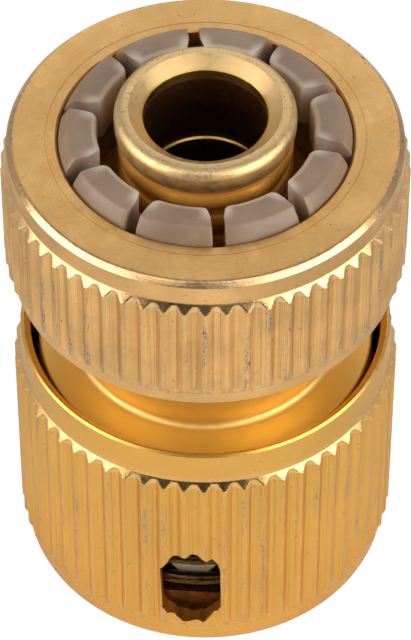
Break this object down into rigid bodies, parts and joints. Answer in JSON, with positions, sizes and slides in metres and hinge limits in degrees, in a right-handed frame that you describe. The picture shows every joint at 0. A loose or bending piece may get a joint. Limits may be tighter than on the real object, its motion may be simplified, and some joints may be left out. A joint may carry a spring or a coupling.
{
  "type": "garden hose quick connector",
  "caption": "Gold-anodised quick connector that clamps a garden hose on a spigot with a nut and fingers, and locks on a plug with balls under a sliding sleeve.",
  "frame": {"origin": "on the axis, at the open face of the socket where the sleeve stands on a surface", "axes": "+Z along the axis from the socket to the hose spigot; -Y is the front, with the slot in the sleeve"},
  "size_m": [0.0346, 0.0346, 0.052],
  "materials": {
    "body": "deep gold anodised, turned",
    "nut": "gold anodised, knurled, worn bright on the ridges",
    "collet": "natural moulded nylon, grey-brown",
    "sleeve": "gold anodised, knurled, worn bright on the ridges",
    "spring": "drawn stainless wire",
    "snap_ring": "bright",
    "balls": "polished"
  },
  "bodies": {
    "fitting": {"body": "body", "snap_ring": "snap_ring"},
    "collet": {"clamp_collet": "collet"},
    "nut": {"clamp_nut": "nut"},
    "coil": {"sleeve_spring": "spring"},
    "sleeve": {"release_sleeve": "sleeve"},
    "ball_a": {"ball_1": "balls"},
    "ball_b": {"ball_2": "balls"},
    "ball_c": {"ball_3": "balls"},
    "ball_d": {"ball_4": "balls"},
    "ball_e": {"ball_5": "balls"},
    "ball_f": {"ball_6": "balls"}
  },
  "joints": [
    {"name": "nut_advance", "type": "slide", "parent": "fitting", "child": "collet", "axis": [0, 0, 1], "range_m": [0, 0.0045]},
    {"name": "nut_turn", "type": "hinge", "parent": "collet", "child": "nut", "pos_m": [0, 0, 0.041], "axis": [0, 0, 1], "range_deg": [0, 1081]},
    {"name": "sleeve_turn", "type": "hinge", "parent": "fitting", "child": "coil", "pos_m": [0, 0, 0.01], "axis": [0, 0, 1], "continuous": true},
    {"name": "sleeve_slide", "type": "slide", "parent": "coil", "child": "sleeve", "axis": [0, 0, 1], "range_m": [0, 0.0045], "stiffness_N_per_m": 1000, "springref_m": -0.006, "deforming": ["sleeve_spring"]},
    {"name": "ball_a_lift", "type": "slide", "parent": "fitting", "child": "ball_a", "axis": [1, 0, 0], "range_m": [0, 0.0009]},
    {"name": "ball_b_lift", "type": "slide", "parent": "fitting", "child": "ball_b", "axis": [0.5, 0.866, 0], "range_m": [0, 0.0009]},
    {"name": "ball_c_lift", "type": "slide", "parent": "fitting", "child": "ball_c", "axis": [-0.5, 0.866, 0], "range_m": [0, 0.0009]},
    {"name": "ball_d_lift", "type": "slide", "parent": "fitting", "child": "ball_d", "axis": [-1, 0, 0], "range_m": [0, 0.0009]},
    {"name": "ball_e_lift", "type": "slide", "parent": "fitting", "child": "ball_e", "axis": [-0.5, -0.866, 0], "range_m": [0, 0.0009]},
    {"name": "ball_f_lift", "type": "slide", "parent": "fitting", "child": "ball_f", "axis": [0.5, -0.866, 0], "range_m": [0, 0.0009]}
  ],
  "couplings": [
    {"joint": "nut_turn", "follows": "nut_advance", "rad_per_m": 4188.8},
    {"joint": "ball_a_lift", "follows": "sleeve_slide", "ratio": 0.2},
    {"joint": "ball_b_lift", "follows": "sleeve_slide", "ratio": 0.2},
    {"joint": "ball_c_lift", "follows": "sleeve_slide", "ratio": 0.2},
    {"joint": "ball_d_lift", "follows": "sleeve_slide", "ratio": 0.2},
    {"joint": "ball_e_lift", "follows": "sleeve_slide", "ratio": 0.2},
    {"joint": "ball_f_lift", "follows": "sleeve_slide", "ratio": 0.2}
  ]
}
